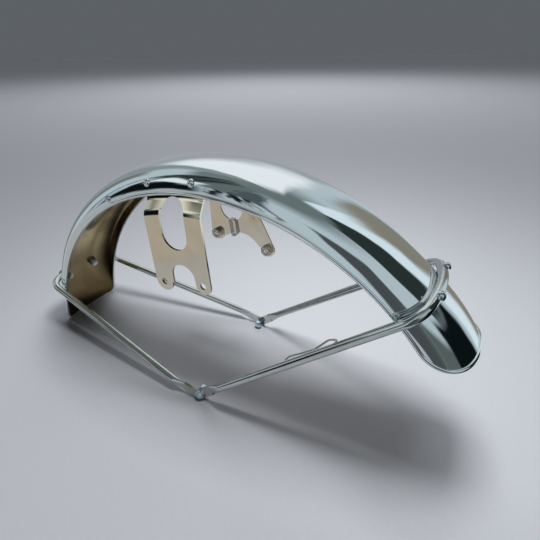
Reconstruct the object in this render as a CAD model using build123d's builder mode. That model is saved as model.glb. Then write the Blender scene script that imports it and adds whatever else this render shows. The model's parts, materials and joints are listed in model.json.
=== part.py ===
"""Motorcycle front mudguard: a chromed blade, two fork plates and two bent stays. Millimetres.

The frame has +X towards the front of the vehicle, +Y to its left and +Z up. The part rests on Z = 0
on the rear end of its blade and on the eyes of its stays, and the origin lies under the middle of
its box.
"""
import os
from math import acos, asin, atan2, copysign, cos, degrees, hypot, pi, radians, sin, sqrt

from build123d import *

os.makedirs("parts", exist_ok=True)

# Blade line, seen from the side: one arc over the wheel and a flatter one for the tail
blade_top = 299.0
top_x = 20.7
crown_radius = 334.0
tail_radius = 369.0
tail_angle = 34.4
rear_angle = 79.2
tip_angle = 57.7

# Blade section: a crowned sheet with shoulders and side walls
sheet = 1.2
half_width = 50.0
section_depth = 29.5
section_power = 2.4

# Blade ends: the tail presses flat, the tip rises and is rounded and wired
flat_angle = 66.0
flat_share = 0.78
rise_angle = 37.6
rise_share = 0.27
tip_round = 38.0
bead = 4.6
rear_corner = 9.0

# Stays: a tube over the blade and flattened eyes that share one screw on each side
tube = 10.0
tube_gap = 0.4
front_stay_angle = 45.2
rear_stay_angle = -67.6
hoop_crown_radius = 128.0
hoop_shoulder_radius = 26.0
hoop_half_span = 57.6
junction_x = 14.7
junction_reach = 85.0
tongue = 3.0
tongue_width = 13.6
tongue_length = 24.0
taper_length = 18.0
eye_radius = 7.0

# Fork plates: bent to clear the bead, then blanked to an outline; places are (X, Z) from under the top
plate = 2.6
plate_offset = 57.0
flange_height = 16.5
flange_foot = 8.5
crank_drop = 4.0
crank_end = 20.0
crank_bend = 14.0
blank_angles = (-28.0, 14.0)
flange_rear = -78.0
flange_low = 266.0
plate_rear = -73.0
plate_front = 3.5
plate_bore = 8.5
window_height = 60.0
window_width = 35.0
right_window = (-32.5, 233.5)
right_arch = (-27.5, 168.5)
arch_radius = 16.5
arch_lean = 4.0
right_rear_hole = (-59.0, 154.5)
right_rear_lug = 12.5
right_front_hole = (0.0, 163.2)
right_front_lug = 10.8
left_window = (-30.5, 227.0)
left_shoulder = (4.0, 226.0)
left_rear_hole = (-55.1, 174.3)
left_front_hole = (24.3, 163.4)
left_lug = 10.4
left_fork = ((-45.0, 167.0), (-25.0, 180.0), (15.0, 158.0))

# Fasteners
clearance = 0.2
thread_clearance = 0.1
seat_gap = 0.75
head_lift = 0.55
head_gap = 0.02
rivet_shank = 5.0
rivet_head = 9.0
rivet_dome = 2.8
rivet_tail = 1.8
rivet_tail_width = 6.0
rivet_height = 12.0
rivet_angles = (-12.7, -1.5)
bolt = 6.0
bolt_head = 10.0
bolt_dome = 3.8
bolt_across = 26.0
nut_flats = 10.0
nut_height = 5.0
washer_width = 11.5
washer = 1.2
screw_head = 12.4
screw_length = 16.0
screw_dome = 4.0
lug_room = 3.5
recess_width = 1.6
recess_length = 6.0
recess_depth = 1.8
side_screw = 5.0
side_screw_head = 9.0
side_screw_dome = 3.2
side_screw_angle = -26.1
side_screw_height = 7.6
side_washer_width = 9.0
side_nut_flats = 8.0
side_nut_height = 4.0
weld_nut_flats = 13.0
weld_nut_height = 6.5
weld_nut_bore = 6.8

# Cable fittings
wire = 2.2
guide_foot = 169.0
guide_foot_length = 18.0
guide_length = 62.0
guide_eye = 15.0
strap = 1.2
strap_width = 10.0
strap_eye = 4.0
strap_x = -27.0

crown_centre = Vector(top_x, 0, blade_top - crown_radius)
tail_turn = radians(-tail_angle)
tail_centre = crown_centre + Vector(sin(tail_turn), 0, cos(tail_turn)) * (crown_radius - tail_radius)
crown_axis = Axis(crown_centre, (0, 1, 0))
side_view = Plane(origin=(top_x, 0, 0), x_dir=(1, 0, 0), z_dir=(0, -1, 0))


def ease(share):
    """Smooth step from 0 to 1."""
    share = min(max(share, 0.0), 1.0)
    return share * share * (3 - 2 * share)


def station(angle):
    """Plane across the blade: its X is the width and its Y points away from the wheel."""
    turn = radians(angle)
    on_tail = angle < -tail_angle
    out = Vector(sin(turn), 0, cos(turn))
    origin = tail_centre + out * tail_radius if on_tail else crown_centre + out * crown_radius
    return Plane(origin=origin, x_dir=(0, 1, 0), z_dir=(cos(turn), 0, -sin(turn)))


def depth_at(angle):
    """Height of the section above its side edges."""
    flat = flat_share * ease((-angle - flat_angle) / (rear_angle - flat_angle))
    rise = rise_share * ease((angle - rise_angle) / (tip_angle - rise_angle))
    return section_depth * (1 - flat + rise)


def section_point(turn, angle, inset=0.0):
    """Point of the section, from the left edge at 0 degrees over the crest at 90 to the right edge."""
    lift = sin(radians(turn)) ** (2 / section_power)
    side = cos(radians(turn))
    across = copysign(abs(side) ** (2 / section_power), side) * (half_width - inset)
    return across, lift * (depth_at(angle) - inset) - section_depth


def turn_across(across):
    """Place on the section at a distance from the middle."""
    return degrees(acos((across / half_width) ** (section_power / 2)))


def turn_above(height):
    """Place on the section at a height above the side edge."""
    return degrees(asin((height / section_depth) ** (section_power / 2)))


def wall_point(turn, angle):
    """Point on the outside of the blade."""
    return station(angle).from_local_coords(section_point(turn, angle))


def wall_plane(angle, turn):
    """Plane on the outside of the blade, with its Z pointing away from the metal."""
    around = wall_point(turn + 1, angle) - wall_point(turn - 1, angle)
    along = wall_point(turn, angle + 0.2) - wall_point(turn, angle - 0.2)
    return Plane(origin=wall_point(turn, angle), x_dir=along, z_dir=around.cross(along))


def edge_point(angle, side):
    """Point on the middle of the sheet at a side edge."""
    return station(angle).from_local_coords((side * (half_width - sheet / 2), -section_depth))


def tip_point(turn):
    """Point on the rim of the tip, whose side view is a quarter of an ellipse."""
    lift = sin(radians(turn)) ** (2 / section_power)
    back = tip_round * (1 - sqrt(1 - (1 - lift) ** 2))
    angle = tip_angle - degrees(back / crown_radius)
    return station(angle).from_local_coords(section_point(turn, angle, sheet / 2))


def seat_point(height):
    """Middle of a plate that lies against the inside of a side wall, at a height above its edge."""
    inset = sheet + clearance + plate / 2
    lift = height / (section_depth - inset)
    across = (half_width - inset) * (1 - lift**section_power) ** (1 / section_power)
    return across, height - section_depth


def dome_middle(radius, rise):
    """Middle of the arc from the rim of a dome to its top."""
    sphere = (radius**2 + rise**2) / (2 * rise)
    half_turn = asin(min(radius / sphere, 1)) / 2
    return sphere * sin(half_turn), rise - sphere * (1 - cos(half_turn))


def flip(point):
    """Mirror a point of a stay's plane to the other side."""
    return -point[0], point[1]


# Blade: lofted sheet, trimmed tip, wired rim
loft_angles = [-rear_angle - 2, -76.5, -73.5, -70.5, rear_stay_angle, -63, -55, -45, -tail_angle, -18]
loft_angles += [0, 18, rise_angle, front_stay_angle, 51, tip_angle, tip_angle + 3]
loft_turns = [0, 8, 20, 35, 52, 70, 90, 110, 128, 145, 160, 172, 180]
tip_turns = [90 * (step / 10) ** 2 for step in range(11)]
tip_start = tip_angle - degrees(tip_round / crown_radius)
bead_end = -rear_angle + degrees(rear_corner / tail_radius)
tip_side = [tip_point(turn) for turn in tip_turns]
tip_rim = tip_side + [Vector(point.X, -point.Y, point.Z) for point in reversed(tip_side[:-1])]
tip_plane = station(tip_angle)
wall_start = station(tip_start)
bolt_turn = turn_across(bolt_across)
front_bolt_planes = [wall_plane(front_stay_angle, turn) for turn in (bolt_turn, 180 - bolt_turn)]
rear_bolt_planes = [wall_plane(rear_stay_angle, turn) for turn in (bolt_turn, 180 - bolt_turn)]
rivet_turn = turn_above(rivet_height)
left_rivet_planes = [wall_plane(angle, rivet_turn) for angle in rivet_angles]
right_rivet_planes = [wall_plane(angle, 180 - rivet_turn) for angle in rivet_angles]
side_screw_plane = wall_plane(side_screw_angle, 180 - turn_above(side_screw_height))

with BuildPart() as blade:
    for angle in loft_angles:
        with BuildSketch(station(angle)):
            with BuildLine():
                outside = Spline([section_point(turn, angle) for turn in loft_turns])
                inside = Spline([section_point(turn, angle, sheet) for turn in loft_turns])
                Line(outside @ 0, inside @ 0)
                Line(outside @ 1, inside @ 1)
            make_face()
    loft()
    # Round the tip in side view, crossing the side edges at a slant
    with BuildSketch(Plane.XZ):
        with BuildLine():
            rim_side = Spline([(point.X, point.Z) for point in tip_side[1:]])
            corners = [
                tip_plane.from_local_coords((0, section_depth, 0)),
                tip_plane.from_local_coords((0, section_depth, 2 * tip_round)),
                tip_plane.from_local_coords((0, -2 * section_depth, 2 * tip_round)),
                wall_start.from_local_coords((0, -1.5 * section_depth, 0)),
                tip_side[1] + (tip_side[1] - tip_side[2]) * 1.6,
            ]
            Polyline(rim_side @ 1, *[(point.X, point.Z) for point in corners], rim_side @ 0)
        make_face()
    extrude(amount=2 * half_width, both=True, mode=Mode.SUBTRACT)
    # Roll the rim into a bead
    with BuildLine():
        tail_middle = -(rear_angle + tail_angle) / 2
        for side in (1, -1):
            tail_start = edge_point(-tail_angle, side)
            ThreePointArc(edge_point(bead_end, side), edge_point(tail_middle, side), tail_start)
            ThreePointArc(tail_start, edge_point(0, side), edge_point(tip_start, side))
        Spline(tip_rim)
    with BuildSketch(Plane(origin=edge_point(bead_end, 1), z_dir=station(bead_end).z_dir)):
        Circle(bead / 2)
    sweep()
    # Cut the tail to stand on the floor, with round corners
    split(bisect_by=Plane.XY, keep=Keep.TOP)
    with BuildSketch(Plane.YZ.offset(-1.2 * tail_radius)):
        for side in (1, -1):
            with Locations((side * half_width, 0)):
                Rectangle(2 * rear_corner, 2 * rear_corner)
            with Locations((side * (half_width - rear_corner), rear_corner)):
                Circle(rear_corner, mode=Mode.SUBTRACT)
        with Locations((0, rear_corner)):
            Rectangle(2 * (half_width - rear_corner), 2 * rear_corner, mode=Mode.SUBTRACT)
    extrude(amount=tail_radius, mode=Mode.SUBTRACT)
    # Holes for the fasteners
    for planes, width in (
        (front_bolt_planes + rear_bolt_planes, bolt),
        (left_rivet_planes + right_rivet_planes, rivet_shank),
        ([side_screw_plane], side_screw),
    ):
        with BuildSketch(*planes):
            Circle(width / 2 + clearance)
        extrude(amount=width, both=True, mode=Mode.SUBTRACT)
blade.part.label = "mudguard_blade"
export_step(blade.part, "parts/mudguard_blade.step")


def stay_line(angle, reach):
    """Plane of a stay, from the eyes' axis to the blade, and the points of its left half in it."""
    junction = Vector(junction_x, 0, eye_radius)
    crest = wall_plane(angle, 90).from_local_coords((0, 0, tube_gap + tube / 2))
    hoop = Plane(origin=junction, x_dir=(0, 1, 0), z_dir=Vector(0, 1, 0).cross(crest - junction))
    top = (crest - junction).length
    radius_step = hoop_crown_radius - hoop_shoulder_radius
    across = hoop_half_span - hoop_shoulder_radius
    along = top - hoop_crown_radius + sqrt(radius_step**2 - across**2)
    crown_turn = asin(across / radius_step)
    crown_end = (
        across + hoop_shoulder_radius * sin(crown_turn),
        along + hoop_shoulder_radius * cos(crown_turn),
    )
    leg_start = (reach, tongue_length + taper_length)
    distance = hypot(reach - across, along - leg_start[1])
    lean = atan2(reach - across, along - leg_start[1]) - asin(hoop_shoulder_radius / distance)
    leg_end = (across + hoop_shoulder_radius * cos(lean), along + hoop_shoulder_radius * sin(lean))
    half_turn = (crown_turn + pi / 2 - lean) / 2
    shoulder = (
        across + hoop_shoulder_radius * sin(half_turn),
        along + hoop_shoulder_radius * cos(half_turn),
    )
    return hoop, leg_start, leg_end, shoulder, crown_end, (0, top)


def bent_stay(angle, reach, bolt_planes, label):
    """Tube bent over the blade, flattened at both ends into an eye."""
    hoop, leg_start, leg_end, shoulder, crown_end, crest = stay_line(angle, reach)
    with BuildPart() as stay:
        with BuildLine(hoop):
            leg = Line(leg_start, leg_end)
            ThreePointArc(leg_end, shoulder, crown_end)
            ThreePointArc(crown_end, crest, flip(crown_end))
            ThreePointArc(flip(crown_end), flip(shoulder), flip(leg_end))
            other_leg = Line(flip(leg_end), flip(leg_start))
        with BuildSketch(Plane(origin=leg @ 0, z_dir=leg % 0)):
            Circle(tube / 2)
        sweep()
        for side, root, heading in ((1, leg @ 0, leg % 0), (-1, other_leg @ 1, other_leg % 1 * -1)):
            with BuildSketch(Plane(origin=root, x_dir=(0, 1, 0), z_dir=heading)):
                Circle(tube / 2)
            flat_end = hoop.from_local_coords((side * reach, tongue_length))
            with BuildSketch(Plane(origin=flat_end, x_dir=(0, 1, 0), z_dir=hoop.y_dir)):
                Ellipse(tongue / 2, tongue_width / 2)
            loft()
            eye = hoop.from_local_coords((side * reach, 0))
            with BuildSketch(Plane(origin=eye, x_dir=hoop.y_dir, z_dir=(0, 1, 0))):
                Circle(eye_radius)
                Rectangle(tongue_length, tongue_width, align=(Align.MIN, Align.CENTER))
                Circle(bolt / 2 + clearance, mode=Mode.SUBTRACT)
            extrude(amount=tongue / 2, both=True)
        with BuildSketch(*bolt_planes):
            Circle(bolt / 2 + clearance)
        extrude(amount=2 * tube, mode=Mode.SUBTRACT)
    stay.part.label = label
    export_step(stay.part, f"parts/{label}.step")
    return stay.part


front_reach = junction_reach - tongue / 2
rear_reach = junction_reach + tongue / 2
front_stay = bent_stay(front_stay_angle, front_reach, front_bolt_planes, "front_stay")
rear_stay = bent_stay(rear_stay_angle, rear_reach, rear_bolt_planes, "rear_stay")

# Lowest lug of the two plates, where their webs end
lug_low = min(
    right_rear_hole[1] - right_rear_lug,
    right_front_hole[1] - right_front_lug,
    left_rear_hole[1] - left_lug,
    left_front_hole[1] - left_lug,
)


def bent_blank(side):
    """Plate bent round the wheel line: a flange on the wall, a crank past the bead and a flat web."""
    past_bead = half_width - sheet / 2 - bead / 2 - clearance - plate / 2
    middle_height = (flange_height + flange_foot) / 2
    flange = [seat_point(height) for height in (flange_height, middle_height, flange_foot)]
    web_end = lug_low - blade_top
    crank = [(past_bead, -crank_drop - section_depth), (plate_offset, -crank_end - section_depth)]
    crank.append((plate_offset, web_end))
    with BuildSketch(station(blank_angles[0])) as bend:
        with BuildLine():
            ThreePointArc(*[(side * across, up) for across, up in flange])
            FilletPolyline(*[(side * across, up) for across, up in [flange[2]] + crank], radius=crank_bend)
        trace(line_width=plate)
    return bend.sketch


# Right fork plate: window, arch and two lugs
with BuildPart() as right_plate:
    add(bent_blank(-1))
    revolve(axis=crown_axis, revolution_arc=blank_angles[1] - blank_angles[0])
    with BuildSketch(side_view):
        with BuildLine():
            Polyline(
                (plate_rear, flange_low - 8),
                (flange_rear, flange_low),
                (flange_rear, blade_top),
                (plate_front, blade_top),
                (right_front_hole[0] + right_front_lug, right_front_hole[1]),
                right_front_hole,
                right_rear_hole,
                (right_rear_hole[0] - right_rear_lug, right_rear_hole[1]),
                close=True,
            )
        make_face()
        with Locations(right_front_hole):
            Circle(right_front_lug)
        with Locations(right_rear_hole):
            Circle(right_rear_lug)
        with Locations(right_window):
            SlotOverall(window_height, window_width, rotation=90, mode=Mode.SUBTRACT)
        with Locations(right_arch):
            Circle(arch_radius, mode=Mode.SUBTRACT)
        with BuildLine():
            Polyline(
                (right_arch[0] - arch_radius, right_arch[1]),
                (right_arch[0] + arch_radius, right_arch[1]),
                (right_arch[0] + arch_radius + arch_lean, right_arch[1] - 2 * arch_radius),
                (right_arch[0] - arch_radius, right_arch[1] - 2 * arch_radius),
                close=True,
            )
        make_face(mode=Mode.SUBTRACT)
        with Locations(right_front_hole, right_rear_hole):
            Circle(plate_bore / 2, mode=Mode.SUBTRACT)
    extrude(amount=2 * plate_offset, both=True, mode=Mode.INTERSECT)
    with BuildSketch(*right_rivet_planes):
        Circle(rivet_shank / 2 + clearance)
    extrude(amount=2 * rivet_shank, both=True, mode=Mode.SUBTRACT)
right_plate.part.label = "right_fork_plate"
export_step(right_plate.part, "parts/right_fork_plate.step")

# Left fork plate: the same window over a wide fork
with BuildPart() as left_plate:
    add(bent_blank(1))
    revolve(axis=crown_axis, revolution_arc=blank_angles[1] - blank_angles[0])
    with BuildSketch(side_view):
        with BuildLine():
            Polyline(
                (left_rear_hole[0] - left_lug, flange_low - 12),
                (flange_rear, flange_low),
                (flange_rear, blade_top),
                (plate_front, blade_top),
                left_shoulder,
                (left_front_hole[0] + left_lug, left_front_hole[1] + left_lug / 4),
                left_front_hole,
                left_rear_hole,
                (left_rear_hole[0] - left_lug, left_rear_hole[1]),
                close=True,
            )
        make_face()
        with Locations(left_front_hole, left_rear_hole):
            Circle(left_lug)
        with Locations(left_window):
            SlotOverall(window_height, window_width, rotation=90, mode=Mode.SUBTRACT)
        with BuildLine():
            fork = ThreePointArc(*left_fork)
            Polyline(fork @ 1, (left_fork[2][0], lug_low), (left_fork[0][0], lug_low), fork @ 0)
        make_face(mode=Mode.SUBTRACT)
        with Locations(left_front_hole, left_rear_hole):
            Circle(plate_bore / 2, mode=Mode.SUBTRACT)
    extrude(amount=2 * plate_offset, both=True, mode=Mode.INTERSECT)
    with BuildSketch(*left_rivet_planes):
        Circle(rivet_shank / 2 + clearance)
    extrude(amount=2 * rivet_shank, both=True, mode=Mode.SUBTRACT)
left_plate.part.label = "left_fork_plate"
export_step(left_plate.part, "parts/left_fork_plate.step")

# Weld nuts on the inner face of the left plate
with BuildPart() as weld_nuts:
    with BuildSketch(side_view.offset(plate / 2 - plate_offset)):
        with Locations(left_front_hole, left_rear_hole):
            RegularPolygon(weld_nut_flats / 2, 6, major_radius=False)
            Circle(weld_nut_bore / 2, mode=Mode.SUBTRACT)
    extrude(amount=weld_nut_height)
weld_nuts.part.label = "left_plate_weld_nuts"
export_step(weld_nuts.part, "parts/left_plate_weld_nuts.step")


def dome_pins(planes, seat, head, dome, shank, length, tail, tail_height, label):
    """Round pins with a domed head above a seat height, and a formed tail where there is one."""
    with BuildPart() as pins:
        for plane in planes:
            with BuildSketch(Plane(origin=plane.origin, x_dir=plane.x_dir, z_dir=-plane.y_dir)):
                with BuildLine():
                    foot = seat - length
                    outline = [(shank / 2, foot), (shank / 2, seat), (head / 2, seat)]
                    if tail:
                        outline = [(tail / 2, foot - tail_height), (tail / 2, foot)] + outline
                    Polyline((0, seat + dome), (0, outline[0][1]), *outline)
                    middle = dome_middle(head / 2, dome)
                    ThreePointArc((head / 2, seat), (middle[0], seat + middle[1]), (0, seat + dome))
                make_face()
            revolve(axis=Axis(plane.origin, plane.z_dir))
    pins.part.label = label
    export_step(pins.part, f"parts/{label}.step")
    return pins.part


def rings(planes, seat, width, bore, height, sides, label):
    """Washers or nuts that hang below a seat height: round where they have no sides."""
    with BuildPart() as group:
        for plane in planes:
            with BuildSketch(plane.offset(seat)):
                if sides:
                    RegularPolygon(width / 2, sides, major_radius=False)
                else:
                    Circle(width / 2)
                Circle(bore / 2, mode=Mode.SUBTRACT)
            extrude(amount=-height)
    group.part.label = label
    export_step(group.part, f"parts/{label}.step")
    return group.part


# Rivets through the walls and the plates' flanges
rivet_grip = sheet + clearance + plate + seat_gap
for planes, label in ((right_rivet_planes, "right_plate_rivets"), (left_rivet_planes, "left_plate_rivets")):
    dome_pins(
        planes, head_gap, rivet_head, rivet_dome, rivet_shank, rivet_grip, rivet_tail_width, rivet_tail, label
    )

# Bolts through the stays and the blade
head_seat = tube_gap + tube + head_lift
washer_seat = -sheet - seat_gap
nut_seat = washer_seat - washer
bolt_length = head_seat - nut_seat + nut_height + 1
for planes, name in ((front_bolt_planes, "front_stay"), (rear_bolt_planes, "rear_stay")):
    dome_pins(planes, head_seat, bolt_head, bolt_dome, bolt, bolt_length, 0, 0, f"{name}_bolts")
    rings(planes, washer_seat, washer_width, bolt + clearance, washer, 0, f"{name}_washers")
    rings(planes, nut_seat, nut_flats, bolt + thread_clearance, nut_height, 6, f"{name}_nuts")

# Side screw in the right wall
side_length = -nut_seat + side_nut_height + 1
side_hole = side_screw + clearance
side_thread = side_screw + thread_clearance
dome_pins(
    [side_screw_plane], head_gap, side_screw_head, side_screw_dome, side_screw, side_length, 0, 0, "side_screw"
)
rings([side_screw_plane], washer_seat, side_washer_width, side_hole, washer, 0, "side_screw_washer")
rings([side_screw_plane], nut_seat, side_nut_flats, side_thread, side_nut_height, 6, "side_screw_nut")

# Junction screws through one pair of eyes on each side; the nuts leave room for the fork's lugs
junction_planes = [
    Plane((junction_x, side * (junction_reach + tongue), eye_radius), x_dir=(1, 0, 0), z_dir=(0, side, 0))
    for side in (-1, 1)
]
for plane, label in zip(junction_planes, ("right_junction_screw", "left_junction_screw")):
    with BuildPart() as screw:
        with BuildSketch(Plane(origin=plane.origin, x_dir=plane.x_dir, z_dir=-plane.y_dir)):
            with BuildLine():
                shank = [(0, -screw_length), (bolt / 2, -screw_length), (bolt / 2, 0)]
                Polyline((0, screw_dome), *shank, (screw_head / 2, 0))
                ThreePointArc((screw_head / 2, 0), dome_middle(screw_head / 2, screw_dome), (0, screw_dome))
            make_face()
        revolve(axis=Axis(plane.origin, plane.z_dir))
        with BuildSketch(plane.offset(screw_dome - recess_depth)):
            Rectangle(recess_length, recess_width)
            Rectangle(recess_width, recess_length)
        extrude(amount=screw_dome, mode=Mode.SUBTRACT)
    screw.part.label = label
    export_step(screw.part, f"parts/{label}.step")
lug_seat = -2 * tongue - lug_room
rings(junction_planes, lug_seat, nut_flats, bolt + thread_clearance, nut_height, 6, "junction_nuts")

# Cable guide: a bent wire on the inner side of the front stay's right leg
hoop, leg_start, leg_end, shoulder, crown_end, crest = stay_line(front_stay_angle, front_reach)
guide_root = hoop.from_local_coords(flip(leg_start))
guide_leg = hoop.from_local_coords(flip(leg_end)) - guide_root
guide_plane = Plane(origin=guide_root, x_dir=guide_leg, z_dir=-hoop.z_dir)
wire_seat = tube / 2 + wire / 2 + clearance / 4
with BuildPart() as guide:
    with BuildLine(guide_plane):
        guide_line = FilletPolyline(
            (guide_foot - guide_foot_length, wire_seat),
            (guide_foot, wire_seat),
            (guide_foot + guide_eye / 2, wire_seat + guide_eye / 2),
            (guide_foot - guide_eye / 2, wire_seat + guide_eye),
            (guide_foot - 1.6 * guide_eye, wire_seat + guide_eye / 3),
            (guide_foot - guide_length, wire_seat + 0.7 * guide_eye),
            (guide_foot - guide_length - guide_eye / 4, wire_seat - wire / 3),
            radius=[3, 4, 6, 12, 4],
        )
    with BuildSketch(Plane(origin=guide_line @ 0, z_dir=guide_line % 0)):
        Circle(wire / 2)
    sweep()
guide.part.label = "cable_guide"
export_step(guide.part, "parts/cable_guide.step")

# Cable strap round the waist of the left plate, between its window and its fork
window_round = window_width / 2
window_turn = left_window[1] - window_height / 2 + window_round
strap_edges = [strap_x - strap_width / 2, strap_x + strap_width / 2]
fork_centre = fork.arc_center
fork_heights = [fork_centre.Y + sqrt(fork.radius**2 - (edge - fork_centre.X) ** 2) for edge in strap_edges]
window_heights = [window_turn - sqrt(window_round**2 - (edge - left_window[0]) ** 2) for edge in strap_edges]
strap_bottom = min(fork_heights) - clearance
strap_top = max(window_heights) + clearance
with BuildPart() as cable_strap:
    with BuildSketch(Plane.YZ.offset(top_x + strap_x)):
        for grow, mode in ((strap, Mode.ADD), (0, Mode.SUBTRACT)):
            with Locations((plate_offset, (strap_bottom + strap_top) / 2)):
                Rectangle(plate + clearance + 2 * grow, strap_top - strap_bottom + 2 * grow, mode=mode)
            with Locations((plate_offset - plate / 2 - strap_eye / 2, (strap_bottom + strap_top) / 2)):
                Circle(strap_eye + grow, mode=mode)
    extrude(amount=strap_width / 2, both=True)
cable_strap.part.label = "plate_cable_strap"
export_step(cable_strap.part, "parts/plate_cable_strap.step")
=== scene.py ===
"""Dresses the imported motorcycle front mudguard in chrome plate, on a pale floor in soft light."""
import json
import math

import bmesh
import bpy
from mathutils import Matrix, Vector


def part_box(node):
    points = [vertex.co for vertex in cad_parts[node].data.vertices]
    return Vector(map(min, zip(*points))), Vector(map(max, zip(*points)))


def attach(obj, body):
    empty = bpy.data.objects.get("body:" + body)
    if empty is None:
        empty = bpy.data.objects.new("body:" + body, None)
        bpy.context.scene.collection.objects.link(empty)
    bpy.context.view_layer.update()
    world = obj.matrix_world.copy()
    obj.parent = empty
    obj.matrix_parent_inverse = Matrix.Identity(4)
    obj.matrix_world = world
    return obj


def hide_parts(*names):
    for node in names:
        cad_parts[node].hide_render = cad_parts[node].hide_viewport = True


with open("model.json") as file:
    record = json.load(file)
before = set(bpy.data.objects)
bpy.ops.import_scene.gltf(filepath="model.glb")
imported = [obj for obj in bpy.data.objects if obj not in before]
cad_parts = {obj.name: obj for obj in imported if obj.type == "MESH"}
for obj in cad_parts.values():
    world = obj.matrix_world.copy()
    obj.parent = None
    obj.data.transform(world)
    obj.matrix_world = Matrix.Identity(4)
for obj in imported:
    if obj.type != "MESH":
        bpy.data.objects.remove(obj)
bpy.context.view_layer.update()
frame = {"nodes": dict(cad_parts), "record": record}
nodes = frame["nodes"]

# Mudguard blade
# A deep arched sheet of mild steel, rolled to shape, then polished and chromed on its outside. Its tail is
# pressed flat and stands on the floor with rounded corners, and its tip is cut to a round nose.
TOP = Vector((0.0207, 0.0, 0.299))
CROWN_RADIUS = 0.334
TAIL_RADIUS = 0.369
TAIL_ANGLE = 34.4
REAR_ANGLE = 79.2
TIP_ANGLE = 57.7
SHEET = 0.0012
HALF_WIDTH = 0.050
DEPTH = 0.0295
POWER = 2.4
FLAT_ANGLE = 66.0
FLAT_SHARE = 0.78
RISE_ANGLE = 37.6
RISE_SHARE = 0.27
TIP_ROUND = 0.038
REAR_CORNER = 0.009
ACROSS_STEPS = 88
ALONG_STEPS = 240
CORNER_TRIES = 8
SHARP_ANGLE = 40.0


def outward(angle):
    """Direction away from the wheel's middle at an angle along the blade, counted forward from the top."""
    return Vector((math.sin(math.radians(angle)), 0, math.cos(math.radians(angle))))


crown_centre = TOP - Vector((0, 0, CROWN_RADIUS))
tail_centre = crown_centre + outward(-TAIL_ANGLE) * (CROWN_RADIUS - TAIL_RADIUS)


def ease(share):
    """Smooth step from 0 to 1."""
    share = min(max(share, 0.0), 1.0)
    return share * share * (3 - 2 * share)


def blade_depth(angle):
    """Height of the crest above the side edges, pressed flat at the tail and raised at the tip."""
    flat = FLAT_SHARE * ease((-angle - FLAT_ANGLE) / (REAR_ANGLE - FLAT_ANGLE))
    rise = RISE_SHARE * ease((angle - RISE_ANGLE) / (TIP_ANGLE - RISE_ANGLE))
    return DEPTH * (1 - flat + rise)


def section_lift(turn):
    """Share of the crest's height at a turn round the section, 0 at the edges."""
    return max(math.sin(math.radians(turn)), 0.0) ** (2 / POWER)


def blade_section(turn, angle, inset=0.0):
    """Across and up on the section, from the left edge at 0 degrees over the crest to the right edge."""
    side = math.cos(math.radians(turn))
    across = math.copysign(abs(side) ** (2 / POWER), side) * (HALF_WIDTH - inset)
    return across, section_lift(turn) * (blade_depth(angle) - inset) - DEPTH


def blade_point(turn, angle, inset=0.0):
    """Point on the blade at a turn round its section and an angle along the wheel."""
    across, up = blade_section(turn, angle, inset)
    on_tail = angle < -TAIL_ANGLE
    centre, radius = (tail_centre, TAIL_RADIUS) if on_tail else (crown_centre, CROWN_RADIUS)
    return centre + outward(angle) * (radius + up) + Vector((0, across, 0))


def tip_end(turn):
    """Angle where the rounded tip stops."""
    back = TIP_ROUND * (1 - math.sqrt(max(1 - (1 - section_lift(turn)) ** 2, 0.0)))
    return TIP_ANGLE - math.degrees(back / CROWN_RADIUS)


def tail_end(turn):
    """Angle where the tail meets the floor, or the round of its corner, found in a few tries."""
    angle = -REAR_ANGLE
    for _ in range(CORNER_TRIES):
        across, up = blade_section(turn, angle)
        past = max(abs(across) - (HALF_WIDTH - REAR_CORNER), 0.0)
        height = REAR_CORNER - math.sqrt(max(REAR_CORNER**2 - past**2, 0.0))
        angle = -math.degrees(math.acos((height - tail_centre.z) / (TAIL_RADIUS + up)))
    return angle


def finished_piece(bm, name, slot, *materials):
    """Turn a bmesh into a piece that rides on the part."""
    mesh = bpy.data.meshes.new(name)
    bm.to_mesh(mesh)
    bm.free()
    piece = bpy.data.objects.new(name, mesh)
    bpy.context.scene.collection.objects.link(piece)
    for material in materials:
        mesh.materials.append(material)
    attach(piece, "root")
    return piece


def linear(colour):
    """sRGB hex colour as linear RGBA."""
    values = [int(colour[i : i + 2], 16) / 255 for i in (1, 3, 5)]
    return [v / 12.92 if v <= 0.04045 else ((v + 0.055) / 1.055) ** 2.4 for v in values] + [1.0]


# Sockets of a colour Mix node, which share their names with its other kinds
MIX_SHARE = 0
MIX_FIRST = 6
MIX_SECOND = 7
MIX_COLOUR = 2


def add_node(tree, kind, inputs=None, **settings):
    """Add a node, set its properties, and set or link its inputs."""
    node = tree.nodes.new(kind)
    for name, value in settings.items():
        setattr(node, name, value)
    for name, value in (inputs or {}).items():
        if isinstance(value, bpy.types.NodeSocket):
            tree.links.new(value, node.inputs[name])
        else:
            node.inputs[name].default_value = value
    return node


def new_material(name):
    """Material with its node tree, its principled shader and its Object coordinates."""
    material = bpy.data.materials.new(name)
    material.use_nodes = True
    tree = material.node_tree
    place = add_node(tree, "ShaderNodeTexCoord").outputs["Object"]
    return material, tree, tree.nodes["Principled BSDF"], place


def make_metal(tree, shader, gloss, bump):
    """Make a shader bare metal, with its roughness and its skin from nodes."""
    shader.inputs["Metallic"].default_value = 1.0
    tree.links.new(gloss.outputs["Result"], shader.inputs["Roughness"])
    tree.links.new(bump.outputs["Normal"], shader.inputs["Normal"])


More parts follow.
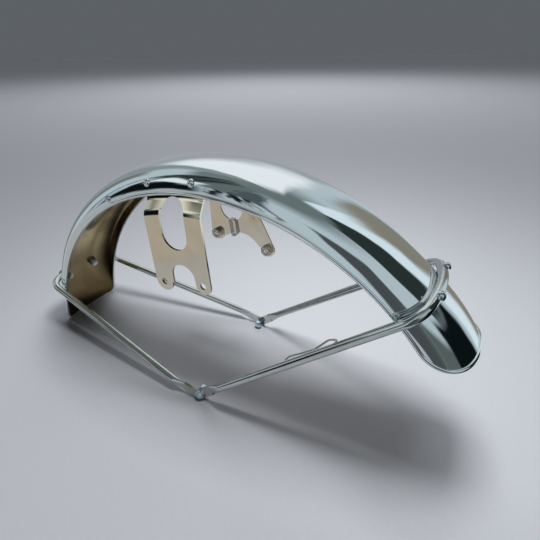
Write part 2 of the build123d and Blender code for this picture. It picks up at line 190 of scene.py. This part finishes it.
# Chrome plate over polished steel gives a clear, cold mirror. Rolling leaves waves about 50 mm long in it,
# and polishing a haze of 2 mm grain, drawn coarser than real so that it shows.
chrome, tree, shader, place = new_material("blade_chrome_plate")
waves = add_node(tree, "ShaderNodeTexNoise", {"Vector": place, "Scale": 1 / 0.05, "Detail": 0.0})
haze = add_node(tree, "ShaderNodeTexNoise", {"Vector": place, "Scale": 1 / 0.002, "Detail": 3.0})
gloss = {"Value": haze.outputs["Fac"], "To Min": 0.02, "To Max": 0.07}
gloss = add_node(tree, "ShaderNodeMapRange", gloss)
bump = {"Height": waves.outputs["Fac"], "Strength": 0.1, "Distance": 0.002}
bump = add_node(tree, "ShaderNodeBump", bump)
shader.inputs["Base Color"].default_value = linear("#E4E9EC")
make_metal(tree, shader, gloss, bump)

# Thin plating on the unpolished inside: brown and dull, with streaks 5 mm wide that follow the rolling round
# the wheel, stains about 60 mm across, and a darkening that grows towards the bottom over the lowest 130 mm.
STREAK_STRETCH = 12
# Heights where the inside starts to darken towards the bottom, and where it is darkest
DARKEN_TOP = 0.13
DARKEN_FULL = 0.03
inside, tree, shader, place = new_material("blade_inside_flash_plate")
centred = add_node(tree, "ShaderNodeMapping", {"Vector": place, "Location": -crown_centre})
axes = add_node(tree, "ShaderNodeSeparateXYZ", {0: centred.outputs[0]})
round_wheel = {0: axes.outputs["X"], 1: axes.outputs["Z"]}
round_wheel = add_node(tree, "ShaderNodeMath", round_wheel, operation="ARCTAN2")
along = {0: round_wheel.outputs[0], 1: CROWN_RADIUS / STREAK_STRETCH}
along = add_node(tree, "ShaderNodeMath", along, operation="MULTIPLY")
rolled = add_node(tree, "ShaderNodeCombineXYZ", {"X": along.outputs[0], "Y": axes.outputs["Y"]})
streak = {"Vector": rolled.outputs[0], "Scale": 1 / 0.005, "Detail": 2.0}
streak = add_node(tree, "ShaderNodeTexNoise", streak)
metal = {MIX_SHARE: streak.outputs["Fac"], MIX_FIRST: linear("#C8B68F"), MIX_SECOND: linear("#AF9A71")}
metal = add_node(tree, "ShaderNodeMix", metal, data_type="RGBA")
stain = add_node(tree, "ShaderNodeTexNoise", {"Vector": place, "Scale": 1 / 0.06, "Detail": 3.0})
stain = {"Value": stain.outputs["Fac"], "From Min": 0.45, "From Max": 0.75}
stain = add_node(tree, "ShaderNodeMapRange", stain)
above = add_node(tree, "ShaderNodeSeparateXYZ", {0: place})
# The inside turns darker towards the bottom, from 130 mm down to 30 mm above the floor, mixed in with the
# stains
low_darkening = {"Value": above.outputs["Z"], "From Min": DARKEN_TOP, "From Max": DARKEN_FULL}
low_darkening = add_node(tree, "ShaderNodeMapRange", low_darkening)
dull = {0: stain.outputs["Result"], 1: low_darkening.outputs["Result"]}
dull = add_node(tree, "ShaderNodeMath", dull, operation="MAXIMUM")
stained_and_darkened = {MIX_SHARE: dull.outputs[0], MIX_FIRST: metal.outputs[MIX_COLOUR], MIX_SECOND: linear("#766446")}
stained_and_darkened = add_node(tree, "ShaderNodeMix", stained_and_darkened, data_type="RGBA")
gloss = {"Value": streak.outputs["Fac"], "To Min": 0.1, "To Max": 0.22}
gloss = add_node(tree, "ShaderNodeMapRange", gloss)
bump = {"Height": streak.outputs["Fac"], "Strength": 0.08, "Distance": 0.0004}
bump = add_node(tree, "ShaderNodeBump", bump)
tree.links.new(stained_and_darkened.outputs[MIX_COLOUR], shader.inputs["Base Color"])
make_metal(tree, shader, gloss, bump)

bm = bmesh.new()
bmesh.ops.create_grid(bm, x_segments=ACROSS_STEPS, y_segments=ALONG_STEPS, size=0.5)
for vert in bm.verts:
    turn = 180 * (vert.co.x + 0.5)
    start = tail_end(turn)
    end = tip_end(turn)
    vert.co = blade_point(turn, start + (end - start) * (vert.co.y + 0.5))
bmesh.ops.recalc_face_normals(bm, faces=bm.faces)
crest = min(bm.faces, key=lambda face: (face.calc_center_median() - TOP).length)
if crest.normal.z < 0:
    bmesh.ops.reverse_faces(bm, faces=bm.faces)
bmesh.ops.solidify(bm, geom=bm.faces, thickness=SHEET)
for face in bm.faces:
    # A face that looks into the hollow under the crest is on the inside
    middle = face.calc_center_median()
    centre, radius = crown_centre, CROWN_RADIUS
    if math.atan2(middle.x - centre.x, middle.z - centre.z) < math.radians(-TAIL_ANGLE):
        centre, radius = tail_centre, TAIL_RADIUS
    angle = math.degrees(math.atan2(middle.x - centre.x, middle.z - centre.z))
    hollow = centre + outward(angle) * (radius - DEPTH)
    face.material_index = 1 if face.normal.dot(middle - hollow) < 0 else 0
    face.smooth = True
for edge in bm.edges:
    edge.smooth = edge.calc_face_angle(0) < math.radians(SHARP_ANGLE)
blade = finished_piece(bm, "blade_sheet", "blade_chrome", chrome, inside)
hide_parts("mudguard_blade")

# Rim bead
# The edge of the sheet is rolled round a steel wire along both sides and round the tip, and chromed with the
# blade. It stops above the rounded corners of the tail.
BEAD = 0.0046
BEAD_ROUNDING = 6
SIDE_STEPS = 160
NOSE_STEPS = 40
WELD = 1e-6


def wire_mesh(route, thickness, rounding):
    """Round wire along a route of points, with flat ends."""
    line = bpy.data.curves.new("wire_line", "CURVE")
    line.dimensions = "3D"
    line.bevel_depth = thickness / 2
    line.bevel_resolution = rounding
    line.use_fill_caps = True
    spline = line.splines.new("POLY")
    spline.points.add(len(route) - 1)
    for point, spot in zip(spline.points, route):
        point.co = (*spot, 1)
    spline.use_smooth = True
    carrier = bpy.data.objects.new("wire_line", line)
    bpy.context.scene.collection.objects.link(carrier)
    bm = bmesh.new()
    bm.from_mesh(bpy.data.meshes.new_from_object(carrier))
    bpy.data.objects.remove(carrier)
    bmesh.ops.remove_doubles(bm, verts=bm.verts, dist=WELD)
    for face in bm.faces:
        face.smooth = len(face.verts) == 4
    return bm


bead_start = -REAR_ANGLE + math.degrees(REAR_CORNER / TAIL_RADIUS)
bead_turn = tip_end(0)
side = [bead_start + (bead_turn - bead_start) * step / SIDE_STEPS for step in range(SIDE_STEPS)]
nose = [90 * (step / NOSE_STEPS) ** 2 for step in range(NOSE_STEPS + 1)]
left = [blade_point(0, angle, SHEET / 2) for angle in side]
left += [blade_point(turn, tip_end(turn), SHEET / 2) for turn in nose]
route = left + [Vector((point.x, -point.y, point.z)) for point in reversed(left[:-1])]
finished_piece(wire_mesh(route, BEAD, BEAD_ROUNDING), "blade_rim_bead", "blade_chrome", chrome)

# Fork plates
# Two plates blanked from 2.6 mm steel, cranked to clear the rim and riveted inside the walls. They are nickel
# plated: bright enough to mirror at the bends, with a warm, slightly clouded face.
PLATE_MIDDLE = 0.057
PLATE_CORE = 0.0024
PLATE_BEND = 0.2354
PLATE_FADE = 0.025


def plated_metal(name, pale, deep, gloss_low, gloss_high, grain, cloud, cut_edge=None):
    """Plated steel: clouds in its colour, and a fine grain in its gloss and skin, drawn coarser than real so
    that it shows. A cut edge colour darkens the plates' core, which shows only at their blanked edges."""
    material, tree, shader, place = new_material(name)
    fine = add_node(tree, "ShaderNodeTexNoise", {"Vector": place, "Scale": 1 / grain, "Detail": 4.0})
    wide = add_node(tree, "ShaderNodeTexNoise", {"Vector": place, "Scale": 1 / cloud, "Detail": 2.0})
    tint = {MIX_SHARE: wide.outputs["Fac"], MIX_FIRST: linear(pale), MIX_SECOND: linear(deep)}
    tint = add_node(tree, "ShaderNodeMix", tint, data_type="RGBA").outputs[MIX_COLOUR]
    if cut_edge:
        axes = add_node(tree, "ShaderNodeSeparateXYZ", {0: place})
        side = add_node(tree, "ShaderNodeMath", {0: axes.outputs["Y"]}, operation="ABSOLUTE").outputs[0]
        core = {0: side, 1: PLATE_MIDDLE, 2: PLATE_CORE / 2}
        core = add_node(tree, "ShaderNodeMath", core, operation="COMPARE").outputs[0]
        below = {"Value": axes.outputs["Z"], "From Min": PLATE_BEND, "From Max": PLATE_BEND - PLATE_FADE}
        below = add_node(tree, "ShaderNodeMapRange", below).outputs["Result"]
        rim = add_node(tree, "ShaderNodeMath", {0: core, 1: below}, operation="MULTIPLY").outputs[0]
        tint = {MIX_SHARE: rim, MIX_FIRST: tint, MIX_SECOND: linear(cut_edge)}
        tint = add_node(tree, "ShaderNodeMix", tint, data_type="RGBA").outputs[MIX_COLOUR]
    gloss = {"Value": fine.outputs["Fac"], "To Min": gloss_low, "To Max": gloss_high}
    gloss = add_node(tree, "ShaderNodeMapRange", gloss)
    bump = {"Height": fine.outputs["Fac"], "Strength": 0.05, "Distance": 0.0003}
    bump = add_node(tree, "ShaderNodeBump", bump)
    tree.links.new(tint, shader.inputs["Base Color"])
    make_metal(tree, shader, gloss, bump)
    return material


def dress(material, *names):
    """Give a finish to CAD nodes."""
    for name in names:
        nodes[name].data.materials.clear()
        nodes[name].data.materials.append(material)


# Nickel plate is yellower than chrome and slightly soft, so the faces look beige, with dark sheared edges
# that fade out towards the bend. Grain 1.5 mm, clouds 20 mm.
nickel = plated_metal("plate_bright_nickel", "#EFE5D2", "#DED1B9", 0.03, 0.11, 0.0015, 0.02, "#6F6A5E")
dress(nickel, "right_fork_plate", "left_fork_plate")

# Rivets
# Domed steel rivets, two in each wall, set through the blade and the plates' flanges and plated bright.
# Small polished heads: a bright mirror with fine handling marks of 0.8 mm and 6 mm clouds.
rivet_chrome = plated_metal("rivet_chrome_plate", "#E2E6EA", "#CDD2D8", 0.05, 0.16, 0.0008, 0.006)
dress(rivet_chrome, "right_plate_rivets", "left_plate_rivets")

# Weld nuts
# Two hexagon nuts welded to the inner face of the left plate, for the bolts of the fork leg.
# Bare steel clouded by the weld: pale grey brown and dull, with 1 mm grain and 5 mm heat clouds.
NUT_FLATS = 0.013
NUT_HEIGHT = 0.0065
NUT_BORE = 0.0068
NUT_SINK = 0.0007
NUT_CROWN = 0.96
NUT_WELD = 0.0009
NUT_SEGMENTS = 48
weld_steel = plated_metal("weld_nut_steel", "#D6D2C8", "#8F8A80", 0.14, 0.3, 0.001, 0.005)


def nut_profile(angle):
    """Radius and height of a nut's wall at an angle round its axis: from the top of its bore over the
    countersink, the flat crown and its chamfer, and down the hexagon to the weld."""
    hexagon = NUT_FLATS / 2 / math.cos((angle + math.pi / 6) % (math.pi / 3) - math.pi / 6)
    crown = NUT_FLATS / 2 * NUT_CROWN
    return (
        (NUT_BORE / 2, NUT_HEIGHT - NUT_SINK),
        (NUT_BORE / 2 + NUT_SINK, NUT_HEIGHT),
        (crown, NUT_HEIGHT),
        (hexagon, NUT_HEIGHT - (hexagon - crown) / 2),
        (hexagon, NUT_WELD),
        (hexagon + NUT_WELD / 2, 0),
    )


bm = bmesh.new()
for mount in frame["record"]["mounts"]:
    if mount["kind"] != "threaded_hole":
        continue
    nut = bmesh.ops.create_circle(bm, segments=NUT_SEGMENTS, radius=NUT_BORE / 2)["verts"]
    foot = list({edge for vert in nut for edge in vert.link_edges})
    rim = foot
    for step in range(len(nut_profile(0))):
        raised = bmesh.ops.extrude_edge_only(bm, edges=rim)["geom"]
        rim = [part for part in raised if isinstance(part, bmesh.types.BMEdge) and part.is_boundary]
        for vert in {vert for edge in rim for vert in edge.verts}:
            angle = math.atan2(vert.co.y, vert.co.x)
            radius, rise = nut_profile(angle)[step]
            vert.co = (radius * math.cos(angle), radius * math.sin(angle), rise)
            nut.append(vert)
    bmesh.ops.bridge_loops(bm, edges=foot + rim)
    seat = Vector(mount["pos_m"]) + Vector(mount["axis"]) * NUT_HEIGHT / 2
    stand = Matrix.Translation(seat) @ Matrix.Rotation(math.pi / 2, 4, "X")
    bmesh.ops.transform(bm, matrix=stand, verts=nut)
bmesh.ops.recalc_face_normals(bm, faces=bm.faces)
weld_nuts = finished_piece(bm, "plate_weld_nuts", "nut_steel", weld_steel)
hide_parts("left_plate_weld_nuts")

# Stays
# Two steel tubes, bent over the blade, flattened at their ends into eyes and chromed.
# Tube chrome is a little darker than the blade's, with 1.5 mm grain and drawn marks clouded over 15 mm.
stay_chrome = plated_metal("stay_chrome_plate", "#D2D5D4", "#B8BBB8", 0.02, 0.07, 0.0015, 0.015)
dress(stay_chrome, "front_stay", "rear_stay")

# Stay bolts, washers and nuts
# Dome headed bolts hold each stay to the blade, with a washer and a hexagon nut inside. The side screw in
# the right wall has a washer and a nut too. The heads are plated to a soft mirror with 0.8 mm handling marks.
# Zinc on the washers and nuts is grey and dull, with 1 mm grain.
bolt_bright = plated_metal("bolt_bright_plate", "#D6DADF", "#B4BAC1", 0.08, 0.2, 0.0008, 0.005)
dress(bolt_bright, "front_stay_bolts", "rear_stay_bolts", "side_screw")
zinc = plated_metal("nut_dull_zinc", "#CBCFD1", "#A1A6A8", 0.22, 0.42, 0.001, 0.004)
dress(zinc, "front_stay_washers", "rear_stay_washers", "side_screw_washer")
dress(zinc, "front_stay_nuts", "rear_stay_nuts", "side_screw_nut")

# Junction screws
# Pan head screws with a cross recess join the eyes on each side, with a nut on the inner end.
# Blue passivated zinc: bright, with a cold blue cast that changes over 3 mm and 0.8 mm grain.
blue_zinc = plated_metal("screw_blue_zinc", "#D3E2EA", "#A9BFCC", 0.14, 0.3, 0.0008, 0.003)
dress(blue_zinc, "right_junction_screw", "left_junction_screw", "junction_nuts")

# Cable fittings
# A bent wire guide on the right leg of the front stay, and three turns of wire wound round the waist of the
# left plate, loose enough on its inner side to hold a cable.
# Drawn wire with a thin plate: light grey, with drawing marks of 0.8 mm and 4 mm clouds.
wire_bright = plated_metal("wire_drawn_steel", "#D6D7D3", "#AEAFA9", 0.08, 0.2, 0.0008, 0.004)
dress(wire_bright, "cable_guide")
TIE_WIRE = 0.0013
TIE_ROUNDING = 4
TIE_TURNS = 3
TIE_STEPS = 48
TIE_SQUARE = 1.38
TIE_SLANT = 0.3
tie_low, tie_high = (Vector(corner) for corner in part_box("plate_cable_strap"))
tie_middle = (tie_low + tie_high) / 2
tie_reach = (tie_high - tie_low - Vector((TIE_WIRE, TIE_WIRE, TIE_WIRE))) / 2
route = []
for step in range(TIE_TURNS * TIE_STEPS + 1):
    turn = 2 * math.pi * step / TIE_STEPS
    share = 2 * step / (TIE_TURNS * TIE_STEPS) - 1
    # A square turn, because the wire lies against the flat faces of the plate
    across = min(max(TIE_SQUARE * math.cos(turn), -1), 1)
    up = min(max(TIE_SQUARE * math.sin(turn), -1), 1)
    along = (1 - TIE_SLANT) * share - TIE_SLANT * up
    route.append(tie_middle + Vector((along * tie_reach.x, across * tie_reach.y, up * tie_reach.z)))
tie = finished_piece(wire_mesh(route, TIE_WIRE, TIE_ROUNDING), "plate_cable_tie", "wire_steel", wire_bright)
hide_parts("plate_cable_strap")

# Floor
# A wide sheet of pale grey studio paper. Its far part is a separate sheet that the chrome doesn't mirror, so
# that the blade's tip sees the room.
# Matt paper, with 4 mm fibre clouds too faint to read as a pattern.
FLOOR_NEAR = 0.42
FLOOR_FAR = 60.0
FLOOR_SEGMENTS = 96
paper, tree, shader, place = new_material("floor_paper")
fibre = add_node(tree, "ShaderNodeTexNoise", {"Vector": place, "Scale": 1 / 0.004, "Detail": 3.0})
tint = {MIX_SHARE: fibre.outputs["Fac"], MIX_FIRST: linear("#C3C6CC"), MIX_SECOND: linear("#BDC1C7")}
tint = add_node(tree, "ShaderNodeMix", tint, data_type="RGBA")
tree.links.new(tint.outputs[MIX_COLOUR], shader.inputs["Base Color"])
shader.inputs["Roughness"].default_value = 0.75
shader.inputs["Specular IOR Level"].default_value = 0.15
for name, radii in (("floor_near", [FLOOR_NEAR]), ("floor_far", [FLOOR_NEAR, FLOOR_FAR])):
    is_disc = len(radii) == 1
    bm = bmesh.new()
    for radius in radii:
        bmesh.ops.create_circle(bm, segments=FLOOR_SEGMENTS, radius=radius, cap_ends=is_disc)
    if not is_disc:
        bmesh.ops.bridge_loops(bm, edges=bm.edges)
    mesh = bpy.data.meshes.new(name)
    bm.to_mesh(mesh)
    bm.free()
    mesh.materials.append(paper)
    floor = bpy.data.objects.new(name, mesh)
    floor.visible_glossy = is_disc
    bpy.context.scene.collection.objects.link(floor)

# Light
# A soft box above the part, a faint even light and a box over the far floor. The chrome sees a pale room with
# a white back wall, dark screens at two sides and a warm corner, which give it edges to reflect.
world = bpy.data.worlds.new("room")
bpy.context.scene.world = world
world.use_nodes = True
tree = world.node_tree
facing = add_node(tree, "ShaderNodeTexCoord").outputs["Generated"]
axes = add_node(tree, "ShaderNodeSeparateXYZ", {0: facing})
back = add_node(tree, "ShaderNodeMath", {0: axes.outputs["Y"], 1: -1.0}, operation="MULTIPLY")
around = {0: axes.outputs["X"], 1: back.outputs[0]}
around = add_node(tree, "ShaderNodeMath", around, operation="ARCTAN2")
height = add_node(tree, "ShaderNodeMath", {0: axes.outputs["Z"]}, operation="ARCSINE")
# A slow ripple keeps the walls' edges from being straight
ripple = add_node(tree, "ShaderNodeTexNoise", {"Vector": facing, "Scale": 3.0, "Detail": 3.0})
sway = {"Value": ripple.outputs["Fac"], "To Min": -0.1, "To Max": 0.1}
sway = add_node(tree, "ShaderNodeMapRange", sway).outputs["Result"]
bent = add_node(tree, "ShaderNodeMath", {0: around.outputs[0], 1: sway}, operation="ADD")
level = add_node(tree, "ShaderNodeMath", {0: height.outputs[0], 1: sway}, operation="ADD")
# Upright folds for the curtains
folds = add_node(tree, "ShaderNodeCombineXYZ", {"X": bent.outputs[0], "Y": height.outputs[0]})
drape = add_node(tree, "ShaderNodeMapping", {"Vector": folds.outputs[0], "Scale": (16.0, 1.2, 1.0)})
fold = add_node(tree, "ShaderNodeTexNoise", {"Vector": drape.outputs[0], "Scale": 1.0, "Detail": 2.0})
pleat = {"Value": fold.outputs["Fac"], "From Min": 0.44, "From Max": 0.56}
pleat = add_node(tree, "ShaderNodeMapRange", pleat)


def band(value, low, high, soft):
    """Mask of an angle: 1 between two limits in degrees, with soft edges."""
    rise = {"From Min": math.radians(low - soft), "From Max": math.radians(low + soft), "Value": value}
    rise = add_node(tree, "ShaderNodeMapRange", rise, interpolation_type="SMOOTHSTEP")
    fall = {"From Min": math.radians(high + soft), "From Max": math.radians(high - soft), "Value": value}
    fall = add_node(tree, "ShaderNodeMapRange", fall, interpolation_type="SMOOTHSTEP")
    sides = {0: rise.outputs["Result"], 1: fall.outputs["Result"]}
    return add_node(tree, "ShaderNodeMath", sides, operation="MULTIPLY").outputs[0]


def hang(behind, colour, across, up, pattern=None):
    """Hang a wall or screen in the room, between limits across and up in degrees that each end in a softness.
    Across counts from straight in front of the right side, and grows towards the tip."""
    sides = {0: band(bent.outputs[0], *across), 1: band(level.outputs[0], *up)}
    mask = add_node(tree, "ShaderNodeMath", sides, operation="MULTIPLY").outputs[0]
    if pattern:
        mask = add_node(tree, "ShaderNodeMath", {0: mask, 1: pattern}, operation="MULTIPLY").outputs[0]
    layer = {MIX_SHARE: mask, MIX_FIRST: behind, MIX_SECOND: linear(colour)}
    return add_node(tree, "ShaderNodeMix", layer, data_type="RGBA").outputs[MIX_COLOUR]


# Pale walls that darken into the ceiling
ceiling = {"Value": height.outputs[0], "From Min": math.radians(46), "From Max": math.radians(74)}
ceiling = add_node(tree, "ShaderNodeMapRange", ceiling)
walls = {MIX_SHARE: ceiling.outputs["Result"], MIX_FIRST: linear("#BCCACF"), MIX_SECOND: linear("#6E7978")}
room = add_node(tree, "ShaderNodeMix", walls, data_type="RGBA").outputs[MIX_COLOUR]
# Back wall: white above a grey skirting, with a grey door beside it
room = hang(room, "#A3A8AD", (-174, -106, 4), (-60, 22, 9))
room = hang(room, "#F7FBFC", (-174, -121, 5), (24, 78, 9))
room = hang(room, "#8F9899", (-121, -106, 4), (-60, 72, 6))
# Left curtains: grey, with dark pleats, over a pale foot, and a bright window beside a black screen
room = hang(room, "#767A79", (-106, -91, 4), (-60, 28, 4))
room = hang(room, "#74807E", (-106, -76, 5), (50, 95, 5))
room = hang(room, "#4A5452", (-76, -44, 3), (29, 70, 5))
room = hang(room, "#10181B", (-74, -16, 3), (-8, 60, 6), pleat.outputs["Result"])
room = hang(room, "#66716F", (-46, -29, 2), (20, 70, 6))
room = hang(room, "#505B5E", (-29, -17, 2), (18, 60, 8))
room = hang(room, "#B3B2AE", (-84, -16, 6), (-60, -10, 4))
room = hang(room, "#0E1213", (-64, -38, 3), (-7, 15, 4))
room = hang(room, "#EEF7F7", (-64, -40, 3), (20, 35, 3))
# Front: a pale wall with a dark panel and a dark foot
room = hang(room, "#4C5152", (4, 38, 3), (-60, 32, 4))
room = hang(room, "#5C6663", (34, 92, 8), (-60, 8, 6))
# Right screens: dark green above and black below
room = hang(room, "#2B3533", (88, 136, 2.5), (18, 70, 6))
room = hang(room, "#0C1416", (72, 130, 4), (-60, 19, 3))
# Bright gap, and the warm corner next to it
room = hang(room, "#E2F0F6", (136, 162, 2), (-60, 68, 5))
room = hang(room, "#8A877B", (151, 175, 4), (-60, 34, 14))
# The chrome mirrors the room, the camera sees a backdrop like the far floor, and all else gets a dim grey
seen = add_node(tree, "ShaderNodeLightPath")
lit = {MIX_SHARE: seen.outputs["Is Glossy Ray"], MIX_FIRST: linear("#303238"), MIX_SECOND: room}
lit = add_node(tree, "ShaderNodeMix", lit, data_type="RGBA").outputs[MIX_COLOUR]
backdrop = {MIX_SHARE: seen.outputs["Is Camera Ray"], MIX_FIRST: lit, MIX_SECOND: linear("#5D6165")}
backdrop = add_node(tree, "ShaderNodeMix", backdrop, data_type="RGBA").outputs[MIX_COLOUR]
tree.links.new(backdrop, tree.nodes["Background"].inputs["Color"])
lamps = (
    ("even_light", "SUN", {"energy": 0.4, "angle": math.radians(18)}, (0, 0, 0), (-8, 10, 0)),
    ("soft_box", "AREA", {"energy": 7.1, "size": 0.3}, (0.14, 0.1, 0.9), (0, 0, 0)),
    ("rear_box", "AREA", {"energy": 150, "size": 4.0}, (-1.8, 4.0, 4.0), (0, 0, 0)),
)
for name, kind, settings, place, turns in lamps:
    light = bpy.data.lights.new(name, kind)
    for setting, value in settings.items():
        setattr(light, setting, value)
    lamp = bpy.data.objects.new(name, light)
    lamp.location = place
    lamp.rotation_euler = [math.radians(turn) for turn in turns]
    lamp.visible_glossy = False
    bpy.context.scene.collection.objects.link(lamp)
bpy.context.scene.view_settings.view_transform = "Standard"

# Camera
# The photograph's viewpoint: near, above and ahead of the right side, with a wide lens. The turns are in
# radians: yaw to the left, pitch down, and a slight roll.
CAMERA_PLACE = (0.2513, -0.3318, 0.3942)
CAMERA_YAW = -0.482
CAMERA_PITCH = 0.54
CAMERA_ROLL = 0.013
camera_data = bpy.data.cameras.new("camera")
camera_data.sensor_width = 36
camera_data.lens = 24.11
camera_data.clip_start = 0.01
level_ahead = Vector((math.sin(CAMERA_YAW), math.cos(CAMERA_YAW), 0))
ahead = level_ahead * math.cos(CAMERA_PITCH) - Vector((0, 0, math.sin(CAMERA_PITCH)))
right = Vector((math.cos(CAMERA_YAW), -math.sin(CAMERA_YAW), 0))
up = right.cross(ahead)
camera_right = right * math.cos(CAMERA_ROLL) - up * math.sin(CAMERA_ROLL)
camera_up = right * math.sin(CAMERA_ROLL) + up * math.cos(CAMERA_ROLL)
camera_turn = Matrix((camera_right, camera_up, -ahead)).transposed().to_4x4()
camera = bpy.data.objects.new("camera", camera_data)
camera.matrix_world = Matrix.Translation(CAMERA_PLACE) @ camera_turn
bpy.context.scene.collection.objects.link(camera)
bpy.context.scene.camera = camera
